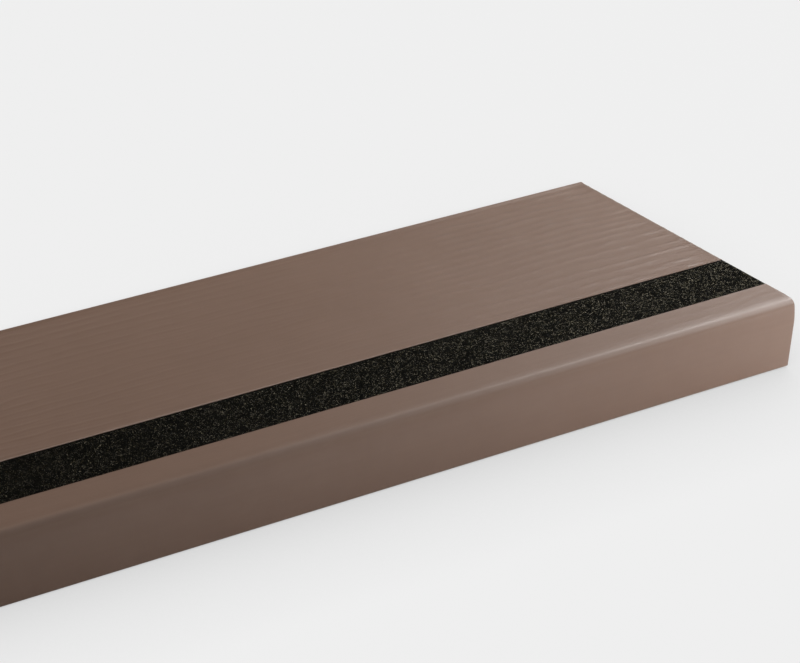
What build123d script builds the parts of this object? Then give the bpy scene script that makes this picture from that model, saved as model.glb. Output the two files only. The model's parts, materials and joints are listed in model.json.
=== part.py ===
from build123d import *
import math
import os

# Rubber stair tread in millimetres: one moulded piece with a square nose that hooks over the
# edge of a step, and an abrasive strip seated in a shallow channel along its top face.
#
# The section is drawn in the plane of the step that it fits: the origin is the inner corner,
# where the step's edge goes, first coordinate towards the back, second coordinate upwards.

# Overall sizes
TREAD_LENGTH = 914.4
TREAD_DEPTH = 263.5
NOSE_HEIGHT = 55.6

# Top plate, thick at the nose and thin at the back edge
PLATE_NOSE_THICKNESS = 6.35
PLATE_BACK_THICKNESS = 3.2
BACK_EDGE_RADIUS = 0.8

# Nose: the top face falls away a little before the crest, and the outer face leans out from the
# crest to the brow, then back in to the toe
CREST_EASE_START = 11.0
CREST_EASE_ANGLE = 6.5
CREST_EASE_RADIUS = 60.0
CREST_SETBACK = 1.95
CREST_RADIUS = 5.5
BROW_THICKNESS = 7.8
BROW_DROP = 13.2
BROW_RADIUS = 60.0
TOE_THICKNESS = 4.4
TOE_OUTER_RADIUS = 1.8
TOE_INNER_RADIUS = 1.0
INNER_CORNER_RADIUS = 2.0

# Abrasive strip and the channel that it is bonded into
STRIP_WIDTH = 50.8
STRIP_NOSE_MARGIN = 34.8
STRIP_PROUD = 0.2
STRIP_END_SETBACK = 0.3
CHANNEL_DEPTH = 1.6
CHANNEL_SIDE_CLEARANCE = 0.25

# Places that follow from the sizes above
brow_front = -BROW_THICKNESS
back_edge = TREAD_DEPTH - BROW_THICKNESS
leg_drop = NOSE_HEIGHT - PLATE_NOSE_THICKNESS
plate_taper = math.atan2(PLATE_NOSE_THICKNESS - PLATE_BACK_THICKNESS, back_edge)
crest_drop = (CREST_EASE_START - CREST_SETBACK) * math.tan(math.radians(CREST_EASE_ANGLE))


def top_point(from_brow, below=0.0):
    """Point at a distance behind the brow, measured along the top face, and a depth below it."""
    start = Vector(brow_front, PLATE_NOSE_THICKNESS - brow_front * math.tan(plate_taper))
    along = Vector(math.cos(plate_taper), -math.sin(plate_taper))
    down = Vector(-math.sin(plate_taper), -math.cos(plate_taper))
    return start + along * from_brow + down * below


def tread_section():
    """Section of the moulded piece before its channel is cut."""
    corners = {
        "inner corner": ((0, 0), INNER_CORNER_RADIUS),
        "back edge, bottom": ((back_edge, 0), 0),
        "back edge, top": ((back_edge, PLATE_BACK_THICKNESS), BACK_EDGE_RADIUS),
        "crest ease": (top_point(CREST_EASE_START), CREST_EASE_RADIUS),
        "crest": (top_point(CREST_SETBACK, crest_drop), CREST_RADIUS),
        "brow": ((brow_front, PLATE_NOSE_THICKNESS - BROW_DROP), BROW_RADIUS),
        "toe, outer": ((-TOE_THICKNESS, -leg_drop), TOE_OUTER_RADIUS),
        "toe, inner": ((0, -leg_drop), TOE_INNER_RADIUS),
    }
    points = [point for point, radius in corners.values()]
    radii = [radius for point, radius in corners.values()]
    return make_face(FilletPolyline(*points, radius=radii, close=True))


def top_band(front, back, top, bottom):
    """Flat band lying along the top face, between two distances from the brow and two depths."""
    return make_face(
        Polyline(
            top_point(front, top),
            top_point(back, top),
            top_point(back, bottom),
            top_point(front, bottom),
            close=True,
        )
    )


def channel_section():
    """Section of the channel, open above the top face."""
    front = STRIP_NOSE_MARGIN - CHANNEL_SIDE_CLEARANCE
    back = STRIP_NOSE_MARGIN + STRIP_WIDTH + CHANNEL_SIDE_CLEARANCE
    return top_band(front, back, -CHANNEL_DEPTH, CHANNEL_DEPTH)


def strip_section():
    """Section of the abrasive strip, resting on the floor of the channel."""
    return top_band(STRIP_NOSE_MARGIN, STRIP_NOSE_MARGIN + STRIP_WIDTH, -STRIP_PROUD, CHANNEL_DEPTH)


def extend(section, length):
    """Carry a section along the tread's length, half of it to each side of the middle."""
    return extrude(Plane.YZ * section, amount=length / 2, both=True)


def rest_angle():
    """Angle by which the free tread leans back, on its toe's inner round and its back edge."""
    run = back_edge + TOE_INNER_RADIUS
    drop = leg_drop - TOE_INNER_RADIUS
    return math.atan2(drop, run) + math.asin(TOE_INNER_RADIUS / math.hypot(run, drop))


tread = extend(tread_section() - channel_section(), TREAD_LENGTH)
grit_strip = extend(strip_section(), TREAD_LENGTH - 2 * STRIP_END_SETBACK)

# The tread is turned onto its toe and back edge, with the floor at zero and the middle at the origin
turn = Rot(X=-math.degrees(rest_angle()))
turned_box = (turn * tread).bounding_box()
seat = Pos(0, -turned_box.center().Y, -turned_box.min.Z) * turn

os.makedirs("parts", exist_ok=True)
export_step(seat * tread, "parts/tread.step")
export_step(seat * grit_strip, "parts/grit_strip.step")
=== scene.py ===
"""A rubber stair tread: one moulded rubber piece and the abrasive strip bonded into its channel.

Lengths are in metres. X runs along the tread to its right end, Y to its back edge and Z up.
The tread rests free on its toe and its back edge, so its section leans back by an angle that
is read from the frame's mounts. The section is drawn from the inner corner of the nose:
first coordinate towards the back, second coordinate upwards.
"""

import json
import logging
import math
from dataclasses import dataclass, field
from enum import Enum

import bpy
import numpy as np
from mathutils import Matrix, Vector


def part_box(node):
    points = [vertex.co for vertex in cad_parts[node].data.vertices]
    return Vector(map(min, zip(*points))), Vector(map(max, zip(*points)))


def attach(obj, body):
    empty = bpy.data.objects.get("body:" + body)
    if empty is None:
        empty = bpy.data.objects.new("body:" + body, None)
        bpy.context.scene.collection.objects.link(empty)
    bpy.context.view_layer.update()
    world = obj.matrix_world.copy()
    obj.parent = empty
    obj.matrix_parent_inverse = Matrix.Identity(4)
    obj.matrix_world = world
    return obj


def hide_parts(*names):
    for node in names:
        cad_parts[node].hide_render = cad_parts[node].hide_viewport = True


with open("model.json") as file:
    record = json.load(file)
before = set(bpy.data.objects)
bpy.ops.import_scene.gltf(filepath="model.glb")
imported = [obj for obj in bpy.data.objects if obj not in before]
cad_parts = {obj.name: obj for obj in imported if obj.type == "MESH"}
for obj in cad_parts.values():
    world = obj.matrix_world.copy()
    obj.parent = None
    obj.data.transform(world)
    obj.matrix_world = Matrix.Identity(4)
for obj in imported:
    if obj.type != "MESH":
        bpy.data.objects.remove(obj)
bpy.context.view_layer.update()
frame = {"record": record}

MM = 0.001
ROOT_BODY = "root"
PHOTO_WIDTH = 800
HAIR = 0.01 * MM

Colour = tuple[float, float, float, float]

log = logging.getLogger("stair_tread")


class Slot(Enum):
    """Material slots of the record."""

    RUBBER = "tread_rubber"
    GRIT = "grit_strip"


class Node(Enum):
    """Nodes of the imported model."""

    TREAD = "tread"
    GRIT_STRIP = "grit_strip"


def srgb(red: int, green: int, blue: int) -> Colour:
    """Turn a display colour of 0 to 255 into the linear colour that a shader takes.

    Args:
        red: Display red.
        green: Display green.
        blue: Display blue.

    Returns:
        Linear red, green, blue and an alpha of one.
    """
    display = np.array([red, green, blue]) / 255.0
    linear = np.where(display <= 0.04045, display / 12.92, ((display + 0.055) / 1.055) ** 2.4)
    return (*(float(value) for value in linear), 1.0)


def smooth_noise(along: np.ndarray, across: np.ndarray, cell: tuple[float, float],
                 seed: int) -> np.ndarray:
    """Value noise: seeded random values at the corners of cells, blended by a cubic ease.

    Args:
        along: First coordinate of each point.
        across: Second coordinate of each point.
        cell: Size of a cell along and across.
        seed: Seed of the random values.

    Returns:
        Values from minus one to one, in the shape of the coordinates.
    """
    column = along / cell[0]
    row = across / cell[1]
    column = column - math.floor(float(column.min()))
    row = row - math.floor(float(row.min()))
    left = np.floor(column).astype(int)
    low = np.floor(row).astype(int)
    table = np.random.default_rng(seed).uniform(-1.0, 1.0, (left.max() + 2, low.max() + 2))
    right_share = column - left
    right_share = right_share * right_share * (3.0 - 2.0 * right_share)
    high_share = row - low
    high_share = high_share * high_share * (3.0 - 2.0 * high_share)
    low_line = table[left, low] * (1 - right_share) + table[left + 1, low] * right_share
    high_line = table[left, low + 1] * (1 - right_share) + table[left + 1, low + 1] * right_share
    return low_line * (1 - high_share) + high_line * high_share


def ease(value: np.ndarray, start: float, end: float) -> np.ndarray:
    """Rise from zero at start to one at end, by the cubic three t squared less two t cubed."""
    share = np.clip((value - start) / (end - start), 0.0, 1.0)
    return share * share * (3.0 - 2.0 * share)


def turns_about(axis: int, angle: np.ndarray) -> np.ndarray:
    """Rotations about one axis: cosines on the diagonal, and sines off it with opposite signs.

    Args:
        axis: Number of the axis, from zero.
        angle: One angle a rotation.

    Returns:
        One matrix a rotation.
    """
    first, second = (axis + 1) % 3, (axis + 2) % 3
    turns = np.zeros((len(angle), 3, 3))
    turns[:, axis, axis] = 1.0
    turns[:, first, first] = np.cos(angle)
    turns[:, second, second] = np.cos(angle)
    turns[:, first, second] = -np.sin(angle)
    turns[:, second, first] = np.sin(angle)
    return turns


def straight_run(start: np.ndarray, end: np.ndarray, spacing: float) -> np.ndarray:
    """Points evenly spaced from start up to, but not at, end.

    Args:
        start: First point.
        end: Point where the run stops.
        spacing: Largest distance between two points.

    Returns:
        One point a row.
    """
    count = max(1, math.ceil(float(np.linalg.norm(end - start)) / spacing))
    share = np.arange(count)[:, None] / count
    return start + (end - start) * share


def rounded_corner(before: np.ndarray, corner: np.ndarray, after: np.ndarray, radius: float,
                   count: int) -> np.ndarray:
    """Arc that rounds a corner and is tangent to both of its sides.

    The arc's centre lies on the corner's bisector, at the radius over the sine of half the
    corner's angle, and its points turn evenly from one side's tangent point to the other's.

    Args:
        before: Point that the first side comes from.
        corner: The sharp corner.
        after: Point that the second side goes to.
        radius: Radius of the rounding.
        count: Number of points.

    Returns:
        One point a row, from the first side to the second.
    """
    to_before = (before - corner) / np.linalg.norm(before - corner)
    to_after = (after - corner) / np.linalg.norm(after - corner)
    half = math.acos(float(to_before @ to_after)) / 2
    bisector = (to_before + to_after) / np.linalg.norm(to_before + to_after)
    centre = corner + bisector * radius / math.sin(half)
    reach = radius / math.tan(half)
    first = corner + to_before * reach - centre
    last = corner + to_after * reach - centre
    start_angle = math.atan2(first[1], first[0])
    turn = math.atan2(last[1], last[0]) - start_angle
    turn = (turn + math.pi) % (2 * math.pi) - math.pi
    angle = start_angle + turn * np.linspace(0.0, 1.0, count)
    return centre + radius * np.stack([np.cos(angle), np.sin(angle)], axis=1)


@dataclass(frozen=True)
class SectionPlane:
    """Where the section's own plane lies in the frame.

    Attributes:
        corner_y: Y of the nose's inner corner.
        corner_z: Z of the nose's inner corner.
        lean: Angle by which the section leans back about X.
    """

    corner_y: float
    corner_z: float
    lean: float

    @classmethod
    def from_mounts(cls, mounts: list[dict]) -> "SectionPlane":
        """Find the plane from the two faces that meet in the inner corner.

        Args:
            mounts: The record's mounts.

        Returns:
            The plane whose origin is on both faces, leaning as the bedding face does.
        """
        named = {mount["name"]: mount for mount in mounts}
        faces = [named["bedding_face"], named["nose_inner_face"]]
        normals = np.array([face["axis"][1:] for face in faces])
        distances = [float(np.dot(face["axis"][1:], face["pos_m"][1:])) for face in faces]
        corner = np.linalg.solve(normals, distances)
        lean = math.atan2(-normals[0, 0], -normals[0, 1])
        return cls(float(corner[0]), float(corner[1]), lean)

    def place(self, points: np.ndarray) -> np.ndarray:
        """Turn section points about X by the lean and move them to the inner corner.

        Args:
            points: Section points, with their two coordinates in the last axis.

        Returns:
            Their Y and Z, in the same shape.
        """
        turn = np.array([[math.cos(self.lean), math.sin(self.lean)],
                         [-math.sin(self.lean), math.cos(self.lean)]])
        return points @ turn.T + np.array([self.corner_y, self.corner_z])


@dataclass(frozen=True)
class TreadSection:
    """Sizes of the tread's section, the same as the solid's."""

    depth: float = 263.5 * MM
    nose_height: float = 55.6 * MM
    plate_nose_thickness: float = 6.35 * MM
    plate_back_thickness: float = 3.2 * MM
    back_edge_radius: float = 0.8 * MM
    crest_ease_start: float = 11.0 * MM
    crest_ease_angle: float = math.radians(6.5)
    crest_ease_radius: float = 60.0 * MM
    crest_setback: float = 1.95 * MM
    crest_radius: float = 5.5 * MM
    brow_thickness: float = 7.8 * MM
    brow_drop: float = 13.2 * MM
    brow_radius: float = 60.0 * MM
    toe_thickness: float = 4.4 * MM
    toe_outer_radius: float = 1.8 * MM
    toe_inner_radius: float = 1.0 * MM
    inner_corner_radius: float = 2.0 * MM
    strip_width: float = 50.8 * MM
    strip_nose_margin: float = 34.8 * MM
    channel_depth: float = 1.6 * MM
    channel_side_clearance: float = 0.25 * MM

    @property
    def back_edge(self) -> float:
        """Distance of the back edge from the inner corner."""
        return self.depth - self.brow_thickness

    @property
    def leg_drop(self) -> float:
        """Depth of the toe below the inner corner."""
        return self.nose_height - self.plate_nose_thickness

    @property
    def taper(self) -> float:
        """Angle between the top face and the bedding face."""
        return math.atan2(self.plate_nose_thickness - self.plate_back_thickness, self.back_edge)

    @property
    def crest_drop(self) -> float:
        """Depth of the crest's corner below the top face."""
        return (self.crest_ease_start - self.crest_setback) * math.tan(self.crest_ease_angle)

    @property
    def channel_front(self) -> float:
        """Distance of the channel's front wall behind the brow."""
        return self.strip_nose_margin - self.channel_side_clearance

    @property
    def channel_back(self) -> float:
        """Distance of the channel's back wall behind the brow."""
        return self.strip_nose_margin + self.strip_width + self.channel_side_clearance

    def top_axes(self) -> tuple[np.ndarray, np.ndarray, np.ndarray]:
        """Axes of the top face, in the section's plane.

        Returns:
            Its start above the brow, its direction to the back and its direction up.
        """
        start = np.array([-self.brow_thickness,
                          self.plate_nose_thickness + self.brow_thickness * math.tan(self.taper)])
        along = np.array([math.cos(self.taper), -math.sin(self.taper)])
        up = np.array([math.sin(self.taper), math.cos(self.taper)])
        return start, along, up

    def top_points(self, from_brow: np.ndarray | float, above: np.ndarray | float) -> np.ndarray:
        """Section points at distances behind the brow and heights above the top face.

        Args:
            from_brow: Distance behind the brow, along the top face.
            above: Height above the top face.

        Returns:
            One point a row, or a single point for two single numbers.
        """
        start, along, up = self.top_axes()
        distance = np.asarray(from_brow, dtype=float)[..., None]
        height = np.asarray(above, dtype=float)[..., None]
        return start + along * distance + up * height

    def from_top(self, points: np.ndarray) -> tuple[np.ndarray, np.ndarray]:
        """Distances behind the brow and heights above the top face of section points."""
        start, along, up = self.top_axes()
        return (points - start) @ along, (points - start) @ up


@dataclass(frozen=True)
class Outline:
    """A closed outline in the section's plane, counter-clockwise seen from the right end.

    Attributes:
        points: One point a row.
        relief: How much of the moulded relief each point takes, from zero to one.
    """

    points: np.ndarray
    relief: np.ndarray


def mesh_piece(name: str, vertices: np.ndarray, faces: list, smooth: bool,
               sharp_angle: float | None = None) -> bpy.types.Object:
    """Make an object at the origin from whole arrays.

    Args:
        name: Name of the piece.
        vertices: One vertex a row, in the frame.
        faces: Vertex numbers of each face.
        smooth: Whether faces are shaded smooth.
        sharp_angle: Edges that turn by more than this, in radians, stay sharp.

    Returns:
        The new object, linked to the scene.
    """
    mesh = bpy.data.meshes.new(name)
    mesh.from_pydata(vertices.reshape(-1, 3).tolist(), [], faces)
    mesh.polygons.foreach_set("use_smooth", np.full(len(mesh.polygons), smooth))
    if sharp_angle is not None:
        mesh.set_sharp_from_angle(angle=sharp_angle)
    mesh.validate()
    mesh.update()
    piece = bpy.data.objects.new(name, mesh)
    bpy.context.scene.collection.objects.link(piece)
    return piece


def swept_faces(stations: int, ring: int) -> list:
    """Quads of a closed ring carried along X, with the two ends closed by one face each.

    The side of the sweep between two stations goes once round the ring, and the end faces
    are the first ring backwards and the last ring forwards, so all of them point outwards.

    Args:
        stations: Number of rings.
        ring: Number of points in a ring.

    Returns:
        Vertex numbers of each face.
    """
    station, point = np.meshgrid(np.arange(stations - 1), np.arange(ring), indexing="ij")
    following = (point + 1) % ring
    quads = np.stack([station * ring + point, station * ring + following,
                      (station + 1) * ring + following, (station + 1) * ring + point], axis=-1)
    first = list(range(ring - 1, -1, -1))
    last = list(range((stations - 1) * ring, stations * ring))
    return [*quads.reshape(-1, 4).tolist(), first, last]


class NodeGraph:
    """Short way to add and join shader nodes in one tree."""

    def __init__(self, tree: bpy.types.NodeTree) -> None:
        """Keep the tree to build in."""
        self.tree = tree

    def add(self, kind: str, inputs: dict | None = None, **settings: object) -> bpy.types.Node:
        """Add a node, with its settings and its inputs.

        Args:
            kind: Type name of the node.
            inputs: For each input's name or number, a value or a socket to join to it.
            settings: Properties of the node.

        Returns:
            The new node.
        """
        node = self.tree.nodes.new(kind)
        for name, value in settings.items():
            setattr(node, name, value)
        for key, value in (inputs or {}).items():
            if isinstance(value, bpy.types.NodeSocket):
                self.tree.links.new(value, node.inputs[key])
            else:
                node.inputs[key].default_value = value
        return node

    def noise(self, vector: bpy.types.NodeSocket, scale: float, detail: float,
              roughness: float = 0.5) -> bpy.types.NodeSocket:
        """Noise of a scale in cells a metre, from zero to one."""
        node = self.add("ShaderNodeTexNoise", {"Vector": vector, "Scale": scale, "Detail": detail,
                                               "Roughness": roughness})
        return node.outputs["Fac"]

    def lengthwise(self, vector: bpy.types.NodeSocket, share: float) -> bpy.types.NodeSocket:
        """Coordinates shrunk along X, which draws a pattern out along the length."""
        node = self.add("ShaderNodeMapping", {"Vector": vector, "Scale": (share, 1.0, 1.0)})
        return node.outputs["Vector"]

    def maths(self, operation: str, first: object, second: object) -> bpy.types.NodeSocket:
        """One operation on two values or sockets."""
        return self.add("ShaderNodeMath", {0: first, 1: second}, operation=operation).outputs[0]

    def span(self, value: bpy.types.NodeSocket, source: tuple[float, float],
             target: tuple[object, object]) -> bpy.types.NodeSocket:
        """Map a value from one range to another, held at the ends."""
        node = self.add("ShaderNodeMapRange", {"Value": value,
                                               "From Min": source[0], "From Max": source[1],
                                               "To Min": target[0], "To Max": target[1]})
        return node.outputs["Result"]

    def blend(self, share: object, first: object, second: object) -> bpy.types.NodeSocket:
        """Mix of two colours."""
        node = self.add("ShaderNodeMix", {0: share, 6: first, 7: second}, data_type="RGBA")
        return node.outputs[2]

    def join(self, source: bpy.types.NodeSocket, target: bpy.types.NodeSocket) -> None:
        """Link one socket to another."""
        self.tree.links.new(source, target)


class SurfaceGroups:
    """Shader node groups that more than one finish uses, each built once."""

    MOTTLE = "moulded_mottle"
    PORES = "fine_pores"
    CLOUD_WEIGHT = 0.45
    BLOTCH_WEIGHT = 0.35
    STREAK_WEIGHT = 0.20
    STREAK_DRAW = 0.035
    MASK_WEIGHT = 0.35
    PEEL_WEIGHT = 0.65

    def __init__(self) -> None:
        """Build both groups."""
        self.mottle = self._build_mottle()
        self.pores = self._build_pores()

    @staticmethod
    def _new_group(name: str, inputs: dict[str, tuple[str, object]],
                   outputs: dict[str, str]) -> tuple[NodeGraph, bpy.types.Node, bpy.types.Node]:
        """Start a group with its named sockets.

        Args:
            name: Name of the group.
            inputs: For each input, its socket type and its value, or None.
            outputs: For each output, its socket type.

        Returns:
            A graph in the group, the node of its inputs and the node of its outputs.
        """
        tree = bpy.data.node_groups.new(name, "ShaderNodeTree")
        for label, (kind, value) in inputs.items():
            socket = tree.interface.new_socket(name=label, in_out="INPUT", socket_type=kind)
            if value is not None:
                socket.default_value = value
        for label, kind in outputs.items():
            tree.interface.new_socket(name=label, in_out="OUTPUT", socket_type=kind)
        graph = NodeGraph(tree)
        return graph, graph.add("NodeGroupInput"), graph.add("NodeGroupOutput")

    def _build_mottle(self) -> bpy.types.NodeTree:
        """Uneven tone: the weighted sum of broad clouds, smaller blotches and long streaks.

        Returns:
            The group, which puts out a colour and the share of the light one in it.
        """
        graph, entry, leave = self._new_group(
            self.MOTTLE,
            {"Vector": ("NodeSocketVector", None), "Light Colour": ("NodeSocketColor", None),
             "Dark Colour": ("NodeSocketColor", None), "Cloud Scale": ("NodeSocketFloat", 7.0),
             "Blotch Scale": ("NodeSocketFloat", 60.0), "Streak Scale": ("NodeSocketFloat", 300.0),
             "Contrast": ("NodeSocketFloat", 1.0)},
            {"Colour": "NodeSocketColor", "Tone": "NodeSocketFloat"})
        given = entry.outputs
        clouds = graph.noise(given["Vector"], given["Cloud Scale"], 2.0)
        blotches = graph.noise(given["Vector"], given["Blotch Scale"], 3.0)
        drawn = graph.lengthwise(given["Vector"], self.STREAK_DRAW)
        streaks = graph.noise(drawn, given["Streak Scale"], 2.0)
        broad = graph.maths("MULTIPLY", clouds, self.CLOUD_WEIGHT)
        middling = graph.maths("MULTIPLY", blotches, self.BLOTCH_WEIGHT)
        narrow = graph.maths("MULTIPLY", streaks, self.STREAK_WEIGHT)
        tone = graph.maths("ADD", graph.maths("ADD", broad, middling), narrow)
        centred = graph.maths("MULTIPLY", graph.maths("SUBTRACT", tone, 0.5), given["Contrast"])
        share = graph.span(centred, (-0.18, 0.18), (0.0, 1.0))
        colour = graph.blend(share, given["Dark Colour"], given["Light Colour"])
        graph.join(colour, leave.inputs["Colour"])
        graph.join(share, leave.inputs["Tone"])
        return graph.tree

    def _build_pores(self) -> bpy.types.NodeTree:
        """Fine uneven skin: small pores over a softer orange-peel height.

        Returns:
            The group, which puts out a height and a mask of the pores.
        """
        graph, entry, leave = self._new_group(
            self.PORES,
            {"Vector": ("NodeSocketVector", None), "Pore Scale": ("NodeSocketFloat", 1500.0),
             "Peel Scale": ("NodeSocketFloat", 260.0)},
            {"Height": "NodeSocketFloat", "Pore Mask": "NodeSocketFloat"})
        given = entry.outputs
        pores = graph.noise(given["Vector"], given["Pore Scale"], 2.0, 0.6)
        peel = graph.noise(given["Vector"], given["Peel Scale"], 2.0)
        mask = graph.span(pores, (0.35, 0.65), (0.0, 1.0))
        raised = graph.maths("MULTIPLY", mask, self.MASK_WEIGHT)
        height = graph.maths("ADD", raised, graph.maths("MULTIPLY", peel, self.PEEL_WEIGHT))
        graph.join(height, leave.inputs["Height"])
        graph.join(mask, leave.inputs["Pore Mask"])
        return graph.tree


class Finish:
    """Base of the finishes: a material with one Principled shader."""

    @staticmethod
    def start(name: str) -> tuple[bpy.types.Material, NodeGraph, bpy.types.NodeSocket]:
        """Make an empty material.

        Args:
            name: Name of the material.

        Returns:
            The material, a graph in it and the object coordinates.
        """
        material = bpy.data.materials.new(name)
        material.use_nodes = True
        material.node_tree.nodes.clear()
        graph = NodeGraph(material.node_tree)
        coordinates = graph.add("ShaderNodeTexCoord").outputs["Object"]
        return material, graph, coordinates

    @staticmethod
    def end(graph: NodeGraph, inputs: dict) -> None:
        """Add the Principled shader with its inputs and join it to the output."""
        shader = graph.add("ShaderNodeBsdfPrincipled", inputs)
        graph.add("ShaderNodeOutputMaterial", {"Surface": shader.outputs["BSDF"]})


@dataclass(frozen=True)
class RubberFinish(Finish):
    """Satin moulded rubber, taupe brown, a little uneven in tone, lighter along the crest where rub and
    a painted highlight are drawn.
    """

    name: str = "taupe_rubber"
    light: Colour = srgb(115, 92, 78)
    dark: Colour = srgb(109, 86, 72)
    # Lighter colour of rubbed skin; along the crest it also serves as a painted highlight.
    rubbed_and_highlit: Colour = srgb(121, 101, 89)
    rub_and_highlight_share: tuple[float, float] = (0.55, 0.85)
    roughness: tuple[float, float] = (0.33, 0.41)
    skin_depth: float = 0.06 * MM
    streak_depth: float = 0.08 * MM
    streak_draw: float = 0.05
    streak_scale: float = 420.0

    def make(self, groups: SurfaceGroups) -> bpy.types.Material:
        """Build the material.

        Args:
            groups: The shared node groups.

        Returns:
            The finished material.
        """
        material, graph, coordinates = self.start(self.name)
        mottle = graph.add("ShaderNodeGroup", {
            "Vector": coordinates, "Light Colour": self.light, "Dark Colour": self.dark,
            "Cloud Scale": 6.0, "Blotch Scale": 55.0, "Streak Scale": 330.0, "Contrast": 1.0,
        }, node_tree=groups.mottle)
        pores = graph.add("ShaderNodeGroup", {
            "Vector": coordinates, "Pore Scale": 1400.0, "Peel Scale": 240.0,
        }, node_tree=groups.pores)
        # Lighter where rubbed: at the cut ends as rub, along the crest as rub and a painted highlight.
        rub_and_highlight = graph.add("ShaderNodeAttribute", attribute_name="edge_rub_and_highlight").outputs["Fac"]
        uneven = graph.span(mottle.outputs["Tone"], (0.2, 0.9), self.rub_and_highlight_share)
        colour = graph.blend(graph.maths("MULTIPLY", rub_and_highlight, uneven), mottle.outputs["Colour"], self.rubbed_and_highlit)
        rough = graph.span(pores.outputs["Pore Mask"], (0.0, 1.0), self.roughness)
        streaks = graph.noise(graph.lengthwise(coordinates, self.streak_draw), self.streak_scale, 2.0)
        skin = graph.add("ShaderNodeBump", {"Strength": 0.6, "Distance": self.skin_depth,
                                            "Height": pores.outputs["Height"]})
        streaked = graph.add("ShaderNodeBump", {"Strength": 0.6, "Distance": self.streak_depth,
                                                "Height": streaks, "Normal": skin.outputs["Normal"]})
        self.end(graph, {"Base Color": colour, "Roughness": rough, "Normal": streaked.outputs["Normal"],
                         "IOR": 1.5})
        return material


@dataclass(frozen=True)
class CarrierFinish(Finish):
    """Black binder that the grit is set in."""

    name: str = "black_binder"
    light: Colour = srgb(9, 9, 7)
    dark: Colour = srgb(5, 5, 4)
    roughness: tuple[float, float] = (0.60, 0.80)
    specular_level: float = 0.02
    skin_depth: float = 0.2 * MM

    def make(self, groups: SurfaceGroups) -> bpy.types.Material:
        """Build the material.

        Args:
            groups: The shared node groups.

        Returns:
            The finished material.
        """
        material, graph, coordinates = self.start(self.name)
        mottle = graph.add("ShaderNodeGroup", {
            "Vector": coordinates, "Light Colour": self.light, "Dark Colour": self.dark,
            "Cloud Scale": 12.0, "Blotch Scale": 240.0, "Streak Scale": 500.0, "Contrast": 1.4,
        }, node_tree=groups.mottle)
        pores = graph.add("ShaderNodeGroup", {
            "Vector": coordinates, "Pore Scale": 1300.0, "Peel Scale": 700.0,
        }, node_tree=groups.pores)
        rough = graph.span(pores.outputs["Pore Mask"], (0.0, 1.0), self.roughness)
        skin = graph.add("ShaderNodeBump", {"Strength": 0.8, "Distance": self.skin_depth,
                                            "Height": pores.outputs["Height"]})
        self.end(graph, {"Base Color": mottle.outputs["Colour"], "Roughness": rough,
                         "Normal": skin.outputs["Normal"], "IOR": 1.5,
                         "Specular IOR Level": self.specular_level})
        return material


@dataclass(frozen=True)
class GrainFinish(Finish):
    """Mineral grains: black, with the palest of them olive brown."""

    name: str = "dull_grain"
    black: Colour = srgb(10, 10, 7)
    deep: Colour = srgb(5, 5, 4)
    pale: Colour = srgb(64, 58, 40)
    pale_from: float = 0.90
    roughness: tuple[float, float] = (0.60, 0.45)
    specular_level: float = 0.02
    glint_tint: Colour = (1.0, 0.84, 0.46, 1.0)

    @classmethod
    def glinting(cls) -> "GrainFinish":
        """The finish of the grains with clean, smoother facets, which mirror the lamps."""
        return cls(name="glinting_grain", pale_from=0.75, roughness=(0.36, 0.22),
                   specular_level=0.78)

    def make(self, groups: SurfaceGroups) -> bpy.types.Material:
        """Build the material.

        Args:
            groups: The shared node groups.

        Returns:
            The finished material.
        """
        material, graph, coordinates = self.start(self.name)
        tone = graph.add("ShaderNodeAttribute", attribute_name="grain_tone").outputs["Fac"]
        mottle = graph.add("ShaderNodeGroup", {
            "Vector": coordinates, "Light Colour": self.black, "Dark Colour": self.deep,
            "Cloud Scale": 12.0, "Blotch Scale": 240.0, "Streak Scale": 500.0, "Contrast": 1.4,
        }, node_tree=groups.mottle)
        pale_share = graph.span(tone, (self.pale_from, 1.0), (0.0, 1.0))
        colour = graph.blend(pale_share, mottle.outputs["Colour"], self.pale)
        rough = graph.span(tone, (0.0, 1.0), self.roughness)
        self.end(graph, {"Base Color": colour, "Roughness": rough, "IOR": 1.5,
                         "Specular IOR Level": self.specular_level, "Specular Tint": self.glint_tint})
        return material


@dataclass(frozen=True)
class NoiseLayer:
    """A noise with its middle value, how far it swings to each side, and its cell.

    Attributes:
        middle: Middle value.
        swing: Largest distance from the middle value.
        cell: Size of a cell along and across.
    """

    middle: float
    swing: float
    cell: tuple[float, float]

    def values(self, along: np.ndarray, across: np.ndarray, seed: int) -> np.ndarray:
        """The middle value plus the swing times a smooth noise of minus one to one."""
        return self.middle + self.swing * smooth_noise(along, across, self.cell, seed)


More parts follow.
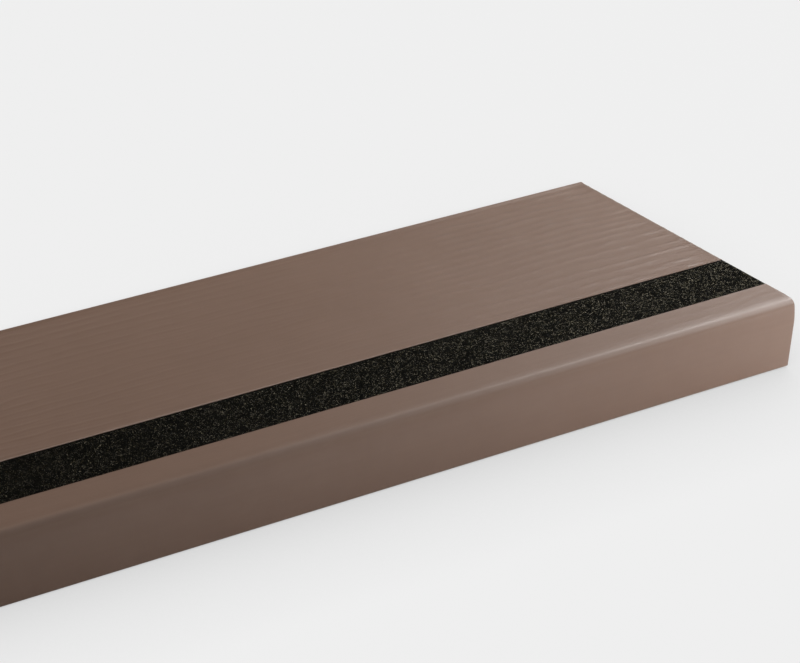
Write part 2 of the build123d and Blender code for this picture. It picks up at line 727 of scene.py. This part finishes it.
@dataclass(frozen=True)
class WoodGrainRelief:
    """Shallow moulded wood grain pressed into the top face.

    The surface is sunk by a depth less the height of its ridges. A ridge is the square of a
    raised cosine of the distance from the nose over the pitch. Its phase is bent by noises, so
    that the lines wander, and its height is scaled by noises, so that each line breaks into
    short strokes. The ridges are low in the middle of the length and rise to their full height
    towards its ends.
    """

    depth: float = 0.74 * MM
    pitch: float = 9.6 * MM
    fine_pitch: float = 4.7 * MM
    fine_phase: float = 0.37
    fine_wander: float = 1.3
    fine_height: float = 0.45
    full_height: float = 1.2
    seed: int = 3617
    wander: tuple[NoiseLayer, ...] = (
        NoiseLayer(0.0, 0.55, (0.180, 0.090)),
        NoiseLayer(0.0, 0.22, (0.050, 0.026)),
        NoiseLayer(0.0, 0.12, (0.014, 0.009)),
    )
    patch: NoiseLayer = NoiseLayer(0.80, 0.50, (0.260, 0.160))
    stroke: NoiseLayer = NoiseLayer(0.70, 0.70, (0.012, 0.0075))
    fine_stroke: NoiseLayer = NoiseLayer(0.30, 0.70, (0.012, 0.0045))
    middle_share: float = 0.35
    rise: tuple[float, float] = (0.12, 0.33)
    skew: float = 0.07

    def sink(self, along: np.ndarray, across: np.ndarray) -> np.ndarray:
        """How far the surface is sunk.

        Args:
            along: Place along the length, from the middle.
            across: Distance behind the brow.

        Returns:
            Depths, from zero to the full depth.
        """
        seeds = iter(range(self.seed, self.seed + 6))
        bend = sum(layer.values(along, across, next(seeds)) for layer in self.wander)
        patch = np.clip(self.patch.values(along, across, next(seeds)), 0.05, 1.0)
        stroke = np.clip(self.stroke.values(along, across, next(seeds)), 0.0, 1.1)
        fine_stroke = np.clip(self.fine_stroke.values(along, across, next(seeds)), 0.0, 1.0)
        ridge = self._ridge(across / self.pitch + bend)
        fine = self._ridge(across / self.fine_pitch + self.fine_wander * bend + self.fine_phase)
        height = stroke * ridge + self.fine_height * fine_stroke * fine
        strength = self.middle_share + (1.0 - self.middle_share) * ease(np.abs(along), *self.rise)
        height = height * strength * patch
        return self.depth * np.clip(1.0 - height / self.full_height, 0.0, 1.0)

    def _ridge(self, phase: np.ndarray) -> np.ndarray:
        """Square of a cosine raised to lie from zero to one, over a phase bent a little by its sine."""
        skewed = phase + self.skew * np.sin(2 * math.pi * phase)
        return (0.5 + 0.5 * np.cos(2 * math.pi * skewed)) ** 2


@dataclass
class MouldedTread:
    """The moulded rubber piece: its section carried along the length, the relief pressed in."""

    plane: SectionPlane
    section: TreadSection = field(default_factory=TreadSection)
    relief: WoodGrainRelief = field(default_factory=WoodGrainRelief)
    finish: RubberFinish = field(default_factory=RubberFinish)
    station_spacing: float = 3.2 * MM
    relief_spacing: float = 1.10 * MM
    plain_spacing: float = 2.6 * MM
    hidden_spacing: float = 9.0 * MM
    relief_margin: float = 2.5 * MM
    front_band_relief: float = 0.15
    end_relief: float = 0.45
    end_reach: float = 8.0 * MM
    # Band along the crest that is drawn lighter, as rub and a painted highlight.
    rub_and_highlight_middle: float = 1.5 * MM
    rub_and_highlight_reach: tuple[float, float] = (1.0 * MM, 7.0 * MM)
    end_rub: float = 0.7
    end_rub_reach: float = 4.0 * MM
    sharp_angle: float = math.radians(28.0)

    def outline(self) -> Outline:
        """Walk round the section, with close points where the relief is pressed in.

        Returns:
            The closed outline, from the inner corner along the underside and back over the top.
        """
        size = self.section
        inner_corner = np.array([0.0, 0.0])
        back_bottom = np.array([size.back_edge, 0.0])
        back_top = np.array([size.back_edge, size.plate_back_thickness])
        crest_ease = size.top_points(size.crest_ease_start, 0.0)
        crest = size.top_points(size.crest_setback, -size.crest_drop)
        brow = np.array([-size.brow_thickness, size.plate_nose_thickness - size.brow_drop])
        toe_outer = np.array([-size.toe_thickness, -size.leg_drop])
        toe_inner = np.array([0.0, -size.leg_drop])
        corner_arc = rounded_corner(toe_inner, inner_corner, back_bottom, size.inner_corner_radius, 6)
        back_arc = rounded_corner(back_bottom, back_top, crest_ease, size.back_edge_radius, 6)
        ease_arc = rounded_corner(back_top, crest_ease, crest, size.crest_ease_radius, 9)
        crest_arc = rounded_corner(crest_ease, crest, brow, size.crest_radius, 20)
        brow_arc = rounded_corner(crest, brow, toe_outer, size.brow_radius, 14)
        toe_outer_arc = rounded_corner(brow, toe_outer, toe_inner, size.toe_outer_radius, 8)
        toe_inner_arc = rounded_corner(toe_outer, toe_inner, inner_corner, size.toe_inner_radius, 6)
        wall_top_back = size.top_points(size.channel_back, 0.0)
        wall_foot_back = size.top_points(size.channel_back, -size.channel_depth)
        wall_foot_front = size.top_points(size.channel_front, -size.channel_depth)
        wall_top_front = size.top_points(size.channel_front, 0.0)
        runs = [
            corner_arc[:-1],
            straight_run(corner_arc[-1], back_bottom, self.hidden_spacing),
            straight_run(back_bottom, back_arc[0], self.plain_spacing),
            back_arc[:-1],
            straight_run(back_arc[-1], wall_top_back, self.relief_spacing),
            straight_run(wall_top_back, wall_foot_back, self.plain_spacing),
            straight_run(wall_foot_back, wall_foot_front, self.hidden_spacing),
            straight_run(wall_foot_front, wall_top_front, self.plain_spacing),
            straight_run(wall_top_front, ease_arc[0], self.relief_spacing),
            ease_arc[:-1],
            straight_run(ease_arc[-1], crest_arc[0], self.relief_spacing),
            crest_arc[:-1],
            straight_run(crest_arc[-1], brow_arc[0], self.plain_spacing),
            brow_arc[:-1],
            straight_run(brow_arc[-1], toe_outer_arc[0], self.plain_spacing),
            toe_outer_arc[:-1],
            straight_run(toe_outer_arc[-1], toe_inner_arc[0], self.plain_spacing),
            toe_inner_arc[:-1],
            straight_run(toe_inner_arc[-1], corner_arc[0], self.hidden_spacing),
        ]
        points = np.concatenate(runs)
        return Outline(points, self._relief_share(points))

    def _relief_share(self, points: np.ndarray) -> np.ndarray:
        """Share of the relief at each point of the outline.

        It is one on the top face behind the channel and less on the front band, and it eases
        to zero towards the channel's walls, the crest and the back edge.

        Args:
            points: The outline's points.

        Returns:
            One share a point, from zero to one.
        """
        size = self.section
        distance, height = size.from_top(points)
        on_top = height > -0.5 * size.plate_back_thickness
        margin = self.relief_margin
        behind = ease(distance, size.channel_back, size.channel_back + margin)
        to_back = size.depth - distance
        behind = behind * ease(to_back, size.back_edge_radius, 2 * margin)
        front = ease(size.channel_front - distance, 0.0, margin)
        front = front * ease(distance, size.crest_radius, size.crest_radius + 4 * margin)
        share = np.where(distance > size.channel_back - HAIR, behind, self.front_band_relief * front)
        return np.where(on_top, share, 0.0)

    def build(self) -> bpy.types.Object:
        """Carry the outline along the length and press the relief in.

        Each ring is the outline, with its points moved down across the top face by the relief's
        depth at that place times the point's share, and times a share that eases down towards
        the two ends. The few points of the crest that stand a hair above the solid's facets are
        held inside its box.

        Returns:
            The finished mesh object.
        """
        low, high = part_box(Node.TREAD.value)
        outline = self.outline()
        count = round((high.x - low.x) / self.station_spacing) + 1
        stations = np.linspace(low.x, high.x, count)
        distance, _ = self.section.from_top(outline.points)
        along, across = np.meshgrid(stations, distance, indexing="ij")
        end_share = ease(high.x - np.abs(along), 0.0, self.end_reach)
        end_share = self.end_relief + (1.0 - self.end_relief) * end_share
        sink = self.relief.sink(along, across) * outline.relief * end_share
        _, _, up = self.section.top_axes()
        rings = outline.points[None, :, :] - sink[..., None] * up
        placed = self.plane.place(rings)
        vertices = np.concatenate([along[..., None], placed], axis=-1)
        vertices = np.clip(vertices, np.array(low), np.array(high))
        faces = swept_faces(count, len(outline.points))
        piece = mesh_piece("moulded_tread", vertices, faces, True, self.sharp_angle)
        self._mark_rub_and_highlight(piece, stations, outline)
        return piece

    def _mark_rub_and_highlight(self, piece: bpy.types.Object, stations: np.ndarray, outline: Outline) -> None:
        """Store where the skin is drawn lighter: along the crest, as rub and a painted highlight, and
        at the two cut ends, as rub.

        Args:
            piece: The tread's object.
            stations: Places of the rings along X.
            outline: The ring's outline.
        """
        size = self.section
        distance, height = size.from_top(outline.points)
        from_crest = np.hypot(distance - size.crest_setback - self.rub_and_highlight_middle,
                              height + self.rub_and_highlight_middle)
        # Painted highlight along the crest, together with rub of the skin.
        crest_rub_and_highlight = 1.0 - ease(from_crest, *self.rub_and_highlight_reach)
        end_rub = 1.0 - ease(stations[-1] - np.abs(stations), 0.0, self.end_rub_reach)
        rub_and_highlight = np.maximum(crest_rub_and_highlight[None, :], self.end_rub * end_rub[:, None])
        attribute = piece.data.attributes.new("edge_rub_and_highlight", "FLOAT", "POINT")
        attribute.data.foreach_set("value", rub_and_highlight.astype(np.float32).ravel())

    def dress(self, piece: bpy.types.Object, groups: SurfaceGroups) -> None:
        """Give the piece its finish and tie it to the frame.

        Args:
            piece: The tread's object.
            groups: The shared node groups.
        """
        piece.data.materials.append(self.finish.make(groups))
        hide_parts(Node.TREAD.value)
        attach(piece, ROOT_BODY)


@dataclass
class GritStrip:
    """The abrasive strip: a black binder lying in the channel, with mineral grains set in it."""

    plane: SectionPlane
    section: TreadSection = field(default_factory=TreadSection)
    carrier_finish: CarrierFinish = field(default_factory=CarrierFinish)
    grain_finish: GrainFinish = field(default_factory=GrainFinish)
    glint_finish: GrainFinish = field(default_factory=GrainFinish.glinting)
    glint_share: float = 0.33
    carrier_below_top: float = 0.12 * MM
    carrier_edge_radius: float = 0.25 * MM
    carrier_swing: float = 0.05 * MM
    carrier_cell: tuple[float, float] = (30.0 * MM, 15.0 * MM)
    sharp_angle: float = math.radians(40.0)
    station_spacing: float = 5.0 * MM
    front_selvage: float = 0.6 * MM
    # Bare black binder at the back edge, wider than at the front; it also draws a painted shade line
    # along the strip's back edge.
    back_selvage_and_shade: float = 1.5 * MM
    end_selvage: float = 0.35 * MM
    grain_pitch: float = 0.92 * MM
    row_share: float = 0.9
    shake_share: float = 0.42
    grain_radius: tuple[float, float] = (0.30 * MM, 0.62 * MM)
    radius_spread: tuple[float, float] = (2.0, 3.0)
    corner_reach: tuple[float, float] = (0.65, 1.2)
    grain_flatness: float = 0.27
    grain_tilt: float = math.radians(7.0)
    highest_grain: float = 0.20 * MM
    sink_shape: float = 1.6
    sink_scale: float = 0.06 * MM
    least_showing: float = 0.05 * MM
    foot_clearance: float = 0.2 * MM
    clump_cell: tuple[float, float] = (2.6 * MM, 2.2 * MM)
    clump_swing: float = 0.8
    lengths: int = 4
    seed: int = 7

    def build_carrier(self) -> bpy.types.Object:
        """Carry the binder's section along the strip's length, with its top a little uneven.

        The section is a flat bar with rounded top edges. Its top is raised and lowered by a
        smooth noise of a few centimetres.

        Returns:
            The binder's mesh object.
        """
        low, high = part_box(Node.GRIT_STRIP.value)
        front = self.section.strip_nose_margin
        back = front + self.section.strip_width
        top, foot = -self.carrier_below_top, -self.section.channel_depth
        corners = self.section.top_points(np.array([front, back, back, front]),
                                          np.array([foot, foot, top, top]))
        back_arc = rounded_corner(corners[1], corners[2], corners[3], self.carrier_edge_radius, 5)
        front_arc = rounded_corner(corners[2], corners[3], corners[0], self.carrier_edge_radius, 5)
        ring = np.concatenate([
            corners[0:1],
            corners[1:2],
            back_arc[:-1],
            straight_run(back_arc[-1], front_arc[0], self.station_spacing / 2),
            front_arc,
        ])
        count = round((high.x - low.x) / self.station_spacing) + 1
        stations = np.linspace(low.x, high.x, count)
        distance, height = self.section.from_top(ring)
        along, across = np.meshgrid(stations, distance, indexing="ij")
        lift = self.carrier_swing * smooth_noise(along, across, self.carrier_cell, self.seed)
        lift = lift * (height > top - HAIR)
        _, _, up = self.section.top_axes()
        placed = self.plane.place(ring[None, :, :] + lift[..., None] * up)
        vertices = np.concatenate([along[..., None], placed], axis=-1)
        return mesh_piece("strip_binder", vertices, swept_faces(count, len(ring)), True,
                          self.sharp_angle)

    def build_grains(self) -> list[bpy.types.Object]:
        """Set the grains: one on each cell of a shaken grid, as a flat, dented octahedron.

        A grain's six corners are the ends of three axes, each pushed in or out at random. Its
        upper half is flattened, so that its facets lie nearly level, and its lower corner reaches
        into the binder. It is spun at random, tilted a little and sunk to its own height.

        Returns:
            The grains, as one mesh object for each stretch of the strip.
        """
        chance = np.random.default_rng(self.seed)
        low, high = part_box(Node.GRIT_STRIP.value)
        along, across = self._grid(low.x + self.end_selvage, high.x - self.end_selvage, chance)
        count = len(along)
        least, most = self.grain_radius
        radius = least + (most - least) * chance.beta(*self.radius_spread, count)
        axes = np.array([[1, 0, 0], [-1, 0, 0], [0, 1, 0], [0, -1, 0],
                         [0, 0, self.grain_flatness], [0, 0, -1]])
        reach = chance.uniform(*self.corner_reach, (count, len(axes)))
        shape = axes[None] * reach[..., None] * radius[:, None, None]
        turned = np.einsum("nij,nkj->nki", self._turns(count, chance), shape)
        crown = turned[..., 2].max(axis=1)
        tip = self.highest_grain - chance.gamma(self.sink_shape, self.sink_scale, count)
        tip = np.maximum(tip, self.least_showing - self.carrier_below_top)
        height = turned[..., 2] + (tip - crown)[:, None]
        height = np.maximum(height, self.foot_clearance - self.section.channel_depth)
        section_points = self.section.top_points(across[:, None] + turned[..., 1], height)
        placed = self.plane.place(section_points)
        corners = np.concatenate([(along[:, None] + turned[..., 0])[..., None], placed], axis=-1)
        clump = 1.0 + self.clump_swing * smooth_noise(along, across, self.clump_cell, self.seed + 1)
        tone = chance.uniform(0.0, 1.0, count)
        glints = chance.uniform(0.0, 1.0, count) < self.glint_share * clump
        stretch = ((along - low.x) / (high.x - low.x) * self.lengths).astype(int)
        return self._stretches(corners, tone, glints, np.clip(stretch, 0, self.lengths - 1))

    def _grid(self, start: float, end: float,
              chance: np.random.Generator) -> tuple[np.ndarray, np.ndarray]:
        """Places of the grains: a square grid with every other row shifted and each point shaken.

        Args:
            start: Left end of the grit.
            end: Right end of the grit.
            chance: Source of random numbers.

        Returns:
            Places along X and distances behind the brow.
        """
        front = self.section.strip_nose_margin + self.front_selvage
        # The wider bare band at the back draws a painted shade line there, besides the selvage.
        back = self.section.strip_nose_margin + self.section.strip_width - self.back_selvage_and_shade
        columns = np.arange(start, end, self.grain_pitch)
        rows = np.arange(front, back, self.grain_pitch * self.row_share)
        along, across = np.meshgrid(columns, rows, indexing="ij")
        along = along + 0.5 * self.grain_pitch * (np.arange(len(rows)) % 2)
        shake = self.shake_share * self.grain_pitch
        along = along + chance.uniform(-shake, shake, along.shape)
        across = across + chance.uniform(-shake, shake, across.shape)
        inside = (along > start) & (along < end)
        return along[inside], np.clip(across[inside], front, back)

    def _turns(self, count: int, chance: np.random.Generator) -> np.ndarray:
        """Turns of the grains: a full spin about the vertical, then a small tilt each way.

        Args:
            count: Number of grains.
            chance: Source of random numbers.

        Returns:
            One rotation matrix a grain.
        """
        spin = chance.uniform(0.0, 2 * math.pi, count)
        tilt, roll = chance.normal(0.0, self.grain_tilt, (2, count))
        return turns_about(1, roll) @ turns_about(0, tilt) @ turns_about(2, spin)

    def _stretches(self, corners: np.ndarray, tone: np.ndarray, glints: np.ndarray,
                   stretch: np.ndarray) -> list[bpy.types.Object]:
        """Join the grains of each stretch of the strip into one mesh, with their tones.

        Args:
            corners: Six corners of each grain.
            tone: Tone of each grain, from black at zero to pale at one.
            glints: Whether each grain has the glinting finish.
            stretch: Number of the stretch that each grain lies in.

        Returns:
            One object a stretch.
        """
        facets = np.array([[0, 2, 4], [2, 1, 4], [1, 3, 4], [3, 0, 4],
                           [2, 0, 5], [1, 2, 5], [3, 1, 5], [0, 3, 5]])
        corner_count = corners.shape[1]
        pieces = []
        for number in range(self.lengths):
            mine = np.flatnonzero(stretch == number)
            first_corner = np.arange(len(mine))[:, None, None] * corner_count
            faces = (first_corner + facets[None]).reshape(-1, 3).tolist()
            piece = mesh_piece(f"grit_grains_{number + 1}", corners[mine], faces, False)
            attribute = piece.data.attributes.new("grain_tone", "FLOAT", "POINT")
            corner_tone = np.repeat(tone[mine], corner_count).astype(np.float32)
            attribute.data.foreach_set("value", corner_tone)
            finish_number = np.repeat(glints[mine], len(facets)).astype(np.int32)
            piece.data.polygons.foreach_set("material_index", finish_number)
            pieces.append(piece)
        return pieces

    def dress(self, carrier: bpy.types.Object, grains: list[bpy.types.Object],
              groups: SurfaceGroups) -> None:
        """Give the binder and the grains their finishes and tie them to the frame.

        Args:
            carrier: The binder's object.
            grains: The grains' objects.
            groups: The shared node groups.
        """
        carrier.data.materials.append(self.carrier_finish.make(groups))
        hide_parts(Node.GRIT_STRIP.value)
        grain_materials = [self.grain_finish.make(groups), self.glint_finish.make(groups)]
        for piece in grains:
            for material in grain_materials:
                piece.data.materials.append(material)
        for piece in [carrier, *grains]:
            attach(piece, ROOT_BODY)


@dataclass(frozen=True)
class Softbox:
    """One soft lamp, a flat panel that faces a point of the tread.

    Attributes:
        name: Name of the lamp.
        place: Middle of the panel.
        watts: Power.
        width: Size across the panel.
        length: Size along the panel.
        along: Direction of the panel's length.
        glossy: Whether the panel is mirrored in glossy surfaces.
        colour: Colour of its light.
        target: Point that the panel faces.
    """

    name: str
    place: tuple[float, float, float]
    watts: float
    width: float = 0.45
    length: float = 0.45
    along: tuple[float, float, float] = (0.0, 0.0, 1.0)
    glossy: bool = True
    colour: tuple[float, float, float] = (1.0, 1.0, 1.0)
    target: tuple[float, float, float] = (0.30, -0.13, 0.05)

    def build(self) -> None:
        """Hang the lamp, turned about its length until it faces the target."""
        lamp = bpy.data.lights.new(self.name, "AREA")
        lamp.shape = "RECTANGLE"
        lamp.size = self.width
        lamp.size_y = self.length
        lamp.energy = self.watts
        lamp.color = self.colour
        length = Vector(self.along).normalized()
        away = Vector(self.place) - Vector(self.target)
        facing = (away - away.dot(length) * length).normalized()
        across = length.cross(facing)
        turn = Matrix((across, length, facing)).transposed()
        holder = bpy.data.objects.new(self.name, lamp)
        holder.matrix_world = Matrix.Translation(self.place) @ turn.to_4x4()
        holder.visible_glossy = self.glossy
        bpy.context.scene.collection.objects.link(holder)


@dataclass(frozen=True)
class PhotoView:
    """The photograph's viewpoint, in the top face's own axes.

    Attributes:
        left_of_end: Distance of the camera to the left of the tread's right end.
        before_brow: Distance of the camera in front of the brow.
        above_top: Height of the camera above the top face.
        heading: Angle of the view round the top face's normal, from straight at the nose.
        pitch: Angle of the view down onto the top face.
        roll: Turn of the picture about the view.
        focal_pixels: Focal length in pixels of the photograph.
        sensor_width: Width of the camera's sensor in millimetres.
    """

    left_of_end: float = 1384.1 * MM
    before_brow: float = 1523.3 * MM
    above_top: float = 947.3 * MM
    heading: float = math.radians(-34.159)
    pitch: float = math.radians(25.632)
    roll: float = math.radians(0.899)
    focal_pixels: float = 3066.9
    sensor_width: float = 36.0

    def build(self, plane: SectionPlane, section: TreadSection, right_end: float) -> None:
        """Make the scene's camera.

        Args:
            plane: Where the section lies.
            section: The tread's section.
            right_end: X of the tread's right end.
        """
        lean = plane.lean + section.taper
        axes = np.array([[1.0, 0.0, 0.0],
                         [0.0, math.cos(lean), -math.sin(lean)],
                         [0.0, math.sin(lean), math.cos(lean)]])
        anchor = np.concatenate([[right_end], plane.place(section.top_points(0.0, 0.0))])
        place = anchor + np.array([-self.left_of_end, -self.before_brow, self.above_top]) @ axes
        backward = np.array([math.sin(self.heading) * math.cos(self.pitch),
                             -math.cos(self.heading) * math.cos(self.pitch), math.sin(self.pitch)])
        level = np.cross(-backward, [0.0, 0.0, 1.0])
        level = level / np.linalg.norm(level)
        upward = np.cross(level, -backward)
        right = math.cos(self.roll) * level + math.sin(self.roll) * upward
        over = -math.sin(self.roll) * level + math.cos(self.roll) * upward
        turn = np.eye(4)
        turn[:3, :3] = (np.array([right, over, backward]) @ axes).T
        turn[:3, 3] = place
        lens = bpy.data.cameras.new("photo_view")
        lens.sensor_width = self.sensor_width
        lens.lens = self.focal_pixels / PHOTO_WIDTH * self.sensor_width
        lens.clip_end = 50.0
        camera = bpy.data.objects.new("photo_view", lens)
        camera.matrix_world = Matrix(turn.tolist())
        bpy.context.scene.collection.objects.link(camera)
        bpy.context.scene.camera = camera


@dataclass
class Studio:
    """Pale floor, soft lamps and the surrounding light."""

    backdrop: Colour = srgb(239, 239, 239)
    surround: Colour = (0.96, 0.93, 0.91, 1.0)
    surround_strength: float = 0.130
    floor_half: float = 6.0
    floor_bounce: float = 0.74
    floor_shading: float = 0.005
    floor_lift: float = 0.006
    contact_reach: float = 0.10
    contact_shade: float = 0.55
    lamps: tuple[Softbox, ...] = (
        Softbox("long_key", (1.30, 0.12, 0.72), 24.0, 0.62, 1.66, (0.0, 0.987, 0.162)),
        Softbox("low_end", (1.15, -0.62, 0.13), 13.5, 0.70, 0.20, glossy=False,
                colour=(0.97, 1.0, 1.05)),
        Softbox("back_fill", (-1.20, 1.60, 1.00), 41.0, 0.80, 0.80, glossy=False),
        Softbox("right_back", (2.00, 2.00, 1.00), 1.8, 0.80, 0.80),
    )

    def build_floor(self) -> None:
        """Lay the floor: to the camera its own pale light, less where the object is near."""
        half = self.floor_half
        corners = np.array([[-half, -half, 0.0], [half, -half, 0.0],
                            [half, half, 0.0], [-half, half, 0.0]])
        floor = mesh_piece("floor", corners, [[0, 1, 2, 3]], False)
        material = bpy.data.materials.new("pale_floor")
        material.use_nodes = True
        material.node_tree.nodes.clear()
        graph = NodeGraph(material.node_tree)
        seen = graph.add("ShaderNodeLightPath").outputs["Is Camera Ray"]
        lit = graph.add("ShaderNodeBsdfDiffuse", {"Color": self._grey(self.floor_bounce)})
        shaded = graph.add("ShaderNodeBsdfDiffuse", {"Color": self._grey(self.floor_shading)})
        nearness = graph.add("ShaderNodeAmbientOcclusion", {"Distance": self.contact_reach},
                             samples=8)
        level = graph.span(nearness.outputs["AO"], (0.0, 1.0), (self.contact_shade, 1.0))
        own = graph.maths("MULTIPLY", level, self.backdrop[0] - self.floor_lift)
        glow = graph.add("ShaderNodeEmission", {"Color": self._grey(1.0), "Strength": own})
        both = graph.add("ShaderNodeAddShader", {0: glow.outputs[0], 1: shaded.outputs[0]})
        mixed = graph.add("ShaderNodeMixShader", {0: seen, 1: lit.outputs[0], 2: both.outputs[0]})
        graph.add("ShaderNodeOutputMaterial", {"Surface": mixed.outputs[0]})
        floor.data.materials.append(material)

    @staticmethod
    def _grey(level: float) -> Colour:
        """Opaque grey of a linear level."""
        return level, level, level, 1.0

    def build_surround(self) -> None:
        """Set the surrounding light, which the camera sees as the pale backdrop."""
        world = bpy.data.worlds.new("surround")
        world.use_nodes = True
        world.node_tree.nodes.clear()
        graph = NodeGraph(world.node_tree)
        seen = graph.add("ShaderNodeLightPath").outputs["Is Camera Ray"]
        lit = graph.add("ShaderNodeBackground", {"Color": self.surround,
                                                 "Strength": self.surround_strength})
        plain = graph.add("ShaderNodeBackground", {"Color": self.backdrop, "Strength": 1.0})
        mixed = graph.add("ShaderNodeMixShader", {0: seen, 1: lit.outputs[0], 2: plain.outputs[0]})
        graph.add("ShaderNodeOutputWorld", {"Surface": mixed.outputs[0]})
        bpy.context.scene.world = world

    def build(self) -> None:
        """Build the floor, the surround and the lamps."""
        self.build_floor()
        self.build_surround()
        for lamp in self.lamps:
            lamp.build()
        bpy.context.scene.view_settings.view_transform = "Standard"


def report_piece(piece: bpy.types.Object) -> None:
    """Log a piece's name and how many triangles it has."""
    loops = len(piece.data.loops)
    log.info("%s: %d triangles", piece.name, loops - 2 * len(piece.data.polygons))


def main() -> None:
    """Build the tread, its strip and the studio, in that order."""
    logging.basicConfig(level=logging.INFO, format="%(name)s %(message)s")
    plane = SectionPlane.from_mounts(frame["record"]["mounts"])
    groups = SurfaceGroups()

    tread = MouldedTread(plane)
    rubber = tread.build()
    tread.dress(rubber, groups)
    report_piece(rubber)

    strip = GritStrip(plane)
    carrier = strip.build_carrier()
    grains = strip.build_grains()
    strip.dress(carrier, grains, groups)
    for piece in [carrier, *grains]:
        report_piece(piece)

    Studio().build()
    _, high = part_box(Node.TREAD.value)
    PhotoView().build(plane, tread.section, high.x)


if __name__ == "__main__":
    main()
